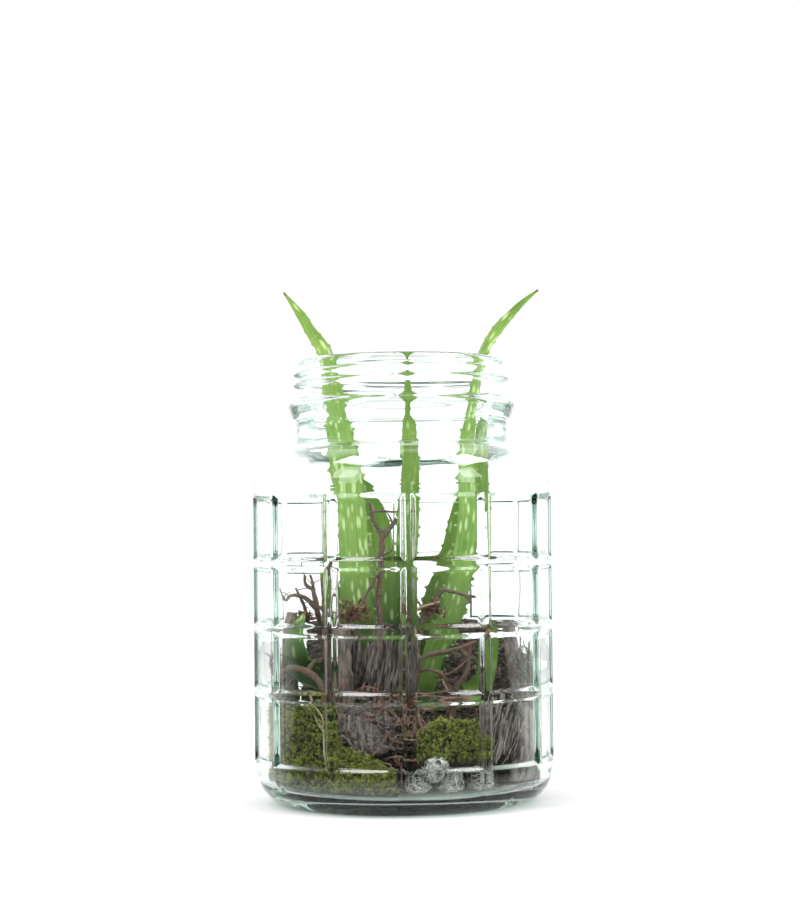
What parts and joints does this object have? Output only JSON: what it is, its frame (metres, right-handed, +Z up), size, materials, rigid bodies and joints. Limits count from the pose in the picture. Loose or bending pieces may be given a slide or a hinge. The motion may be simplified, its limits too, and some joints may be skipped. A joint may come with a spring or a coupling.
{
  "type": "glass jar terrarium with an aloe",
  "caption": "Ribbed glass screw-top jar without a lid, filled with soil, moss, bark and twigs, from which a toothed spotted aloe grows up and out of the mouth.",
  "frame": {"origin": "on the surface that the jar stands on, under the jar's axis", "axes": "+Z up along the jar's axis, -Y towards the front with the marbles, +X to the right of the front"},
  "size_m": [0.122, 0.122, 0.2098],
  "materials": {
    "glass": "clear pressed glass with a pale green tint, deeper green where it is thick",
    "aloe_leaf": "smooth waxy succulent leaf, mid green with pale flecks and a toothed edge",
    "aloe_stem": "firm pale green-brown plant stem",
    "soil": "dark crumbly potting soil, matt",
    "moss": "soft green and olive moss",
    "bark": "rough grey-brown bark",
    "driftwood": "weathered grey wood with a fine grain",
    "twig": "dry dark brown twig",
    "root": "dry reddish brown root",
    "straw": "pale dry stalk",
    "crackled_glass": "clear glass full of fine internal cracks"
  },
  "bodies": {
    "root": {"marble_1": "crackled_glass", "marble_2": "crackled_glass", "marble_3": "crackled_glass", "marble_4": "crackled_glass", "aloe_crown": "aloe_stem", "leaf_left_tall": "aloe_leaf", "leaf_right_tall": "aloe_leaf", "leaf_centre": "aloe_leaf", "leaf_left_behind": "aloe_leaf", "leaf_right_behind": "aloe_leaf", "leaf_right_second": "aloe_leaf", "leaf_left_low": "aloe_leaf", "leaf_right_low": "aloe_leaf", "leaf_left_back": "aloe_leaf", "driftwood": "driftwood", "twig_fork": "twig", "twig_bud": "twig", "twig_left": "twig", "twig_right": "twig", "root_arch": "root", "root_right": "root", "rootlets_centre": "root", "rootlets_right": "root", "straw_left": "straw", "straw_right": "straw", "bark_left": "bark", "bark_mid": "bark", "bark_front": "bark", "bark_lump": "bark", "moss_left": "moss", "moss_right": "moss", "soil": "soil", "jar": "glass"}
  },
  "joints": []
}
